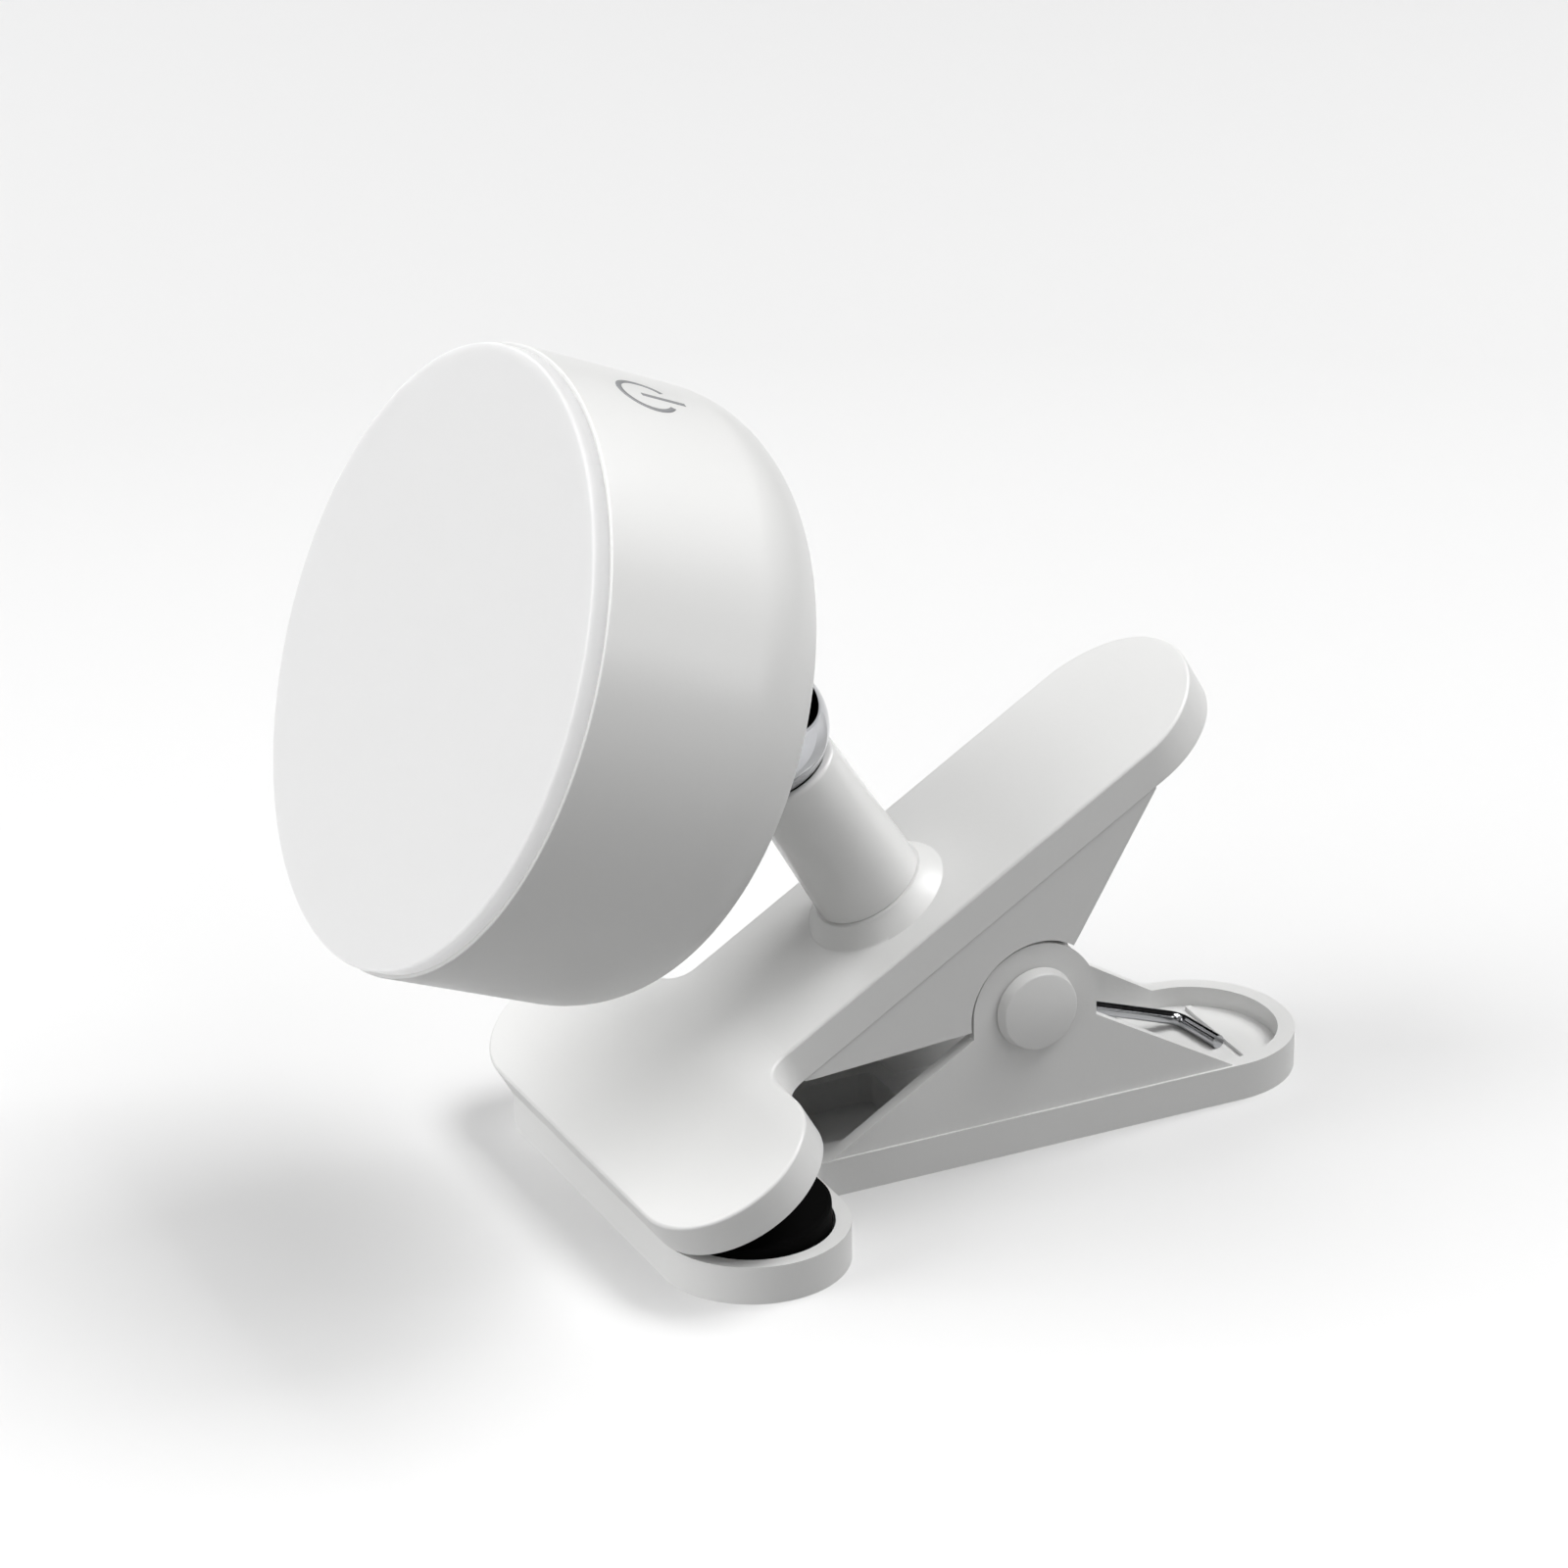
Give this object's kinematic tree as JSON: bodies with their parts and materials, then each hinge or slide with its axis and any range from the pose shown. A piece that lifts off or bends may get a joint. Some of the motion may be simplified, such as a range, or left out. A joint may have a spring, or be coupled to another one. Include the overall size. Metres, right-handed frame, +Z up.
{
  "type": "clip on reading lamp",
  "caption": "Rechargeable clip lamp: round puck head with an opal front on a steel ball, short post, and a sprung clip with wide rubber-lined jaws.",
  "frame": {"origin": "underside of the lower arm, straight below the clip's pivot", "axes": "+Z up, -Y from the pivot towards the jaws, +X towards the lamp's left seen from the front, along the pivot pin"},
  "size_m": [0.075, 0.1308, 0.1104],
  "materials": {
    "white_abs": "satin",
    "gloss_white": "gloss",
    "opal": "smooth, milky",
    "rubber": "matt",
    "steel": "plain",
    "chrome": "polished",
    "board_white": "solder mask",
    "board_green": "solder mask",
    "phosphor": "silicone",
    "cell": "film",
    "copper": "foil"
  },
  "bodies": {
    "lower_clip": {"lower_arm": "white_abs", "lower_pad": "rubber", "pivot_pin": "steel", "pin_cap_left": "white_abs", "pin_cap_right": "white_abs", "torsion_spring": "chrome"},
    "upper_clip": {"upper_cover": "white_abs", "upper_frame": "white_abs", "upper_pad": "rubber", "frame_screw_1": "steel", "frame_screw_2": "steel", "frame_screw_3": "steel", "frame_screw_4": "steel", "post_tube": "gloss_white", "post_screw": "steel"},
    "ball": {"steel_ball": "chrome"},
    "seat": {"socket_magnet": "steel"},
    "head": {"head_housing": "white_abs", "diffuser": "opal", "magnet_plate": "steel", "led_carrier": "white_abs", "led_board": "board_white", "led_1": "phosphor", "led_2": "phosphor", "led_3": "phosphor", "led_4": "phosphor", "led_5": "phosphor", "led_6": "phosphor", "led_7": "phosphor", "led_8": "phosphor", "led_9": "phosphor", "led_10": "phosphor", "led_11": "phosphor", "led_12": "phosphor", "battery": "cell", "control_board": "board_green", "usb_port": "steel", "touch_electrode": "copper", "carrier_screw_1": "steel", "carrier_screw_2": "steel", "carrier_screw_3": "steel", "carrier_screw_4": "steel"}
  },
  "joints": [
    {"name": "clip_open", "type": "hinge", "parent": "lower_clip", "child": "upper_clip", "pos_m": [0, 0, 0.0195], "axis": [-1, 0, 0], "range_deg": [0, 60], "stiffness_Nm_per_rad": 0.3, "springref_deg": -114.59, "deforming": ["torsion_spring"]},
    {"name": "head_swivel", "type": "hinge", "parent": "upper_clip", "child": "ball", "pos_m": [0, -0.03128, 0.05877], "axis": [0, -0.521, 0.8536], "continuous": true},
    {"name": "head_tilt", "type": "hinge", "parent": "ball", "child": "seat", "pos_m": [0, -0.03128, 0.05877], "axis": [1, 0, 0], "range_deg": [-36, 30]},
    {"name": "head_spin", "type": "hinge", "parent": "seat", "child": "head", "pos_m": [0, -0.03128, 0.05877], "axis": [0, -0.9239, 0.3827], "continuous": true}
  ]
}
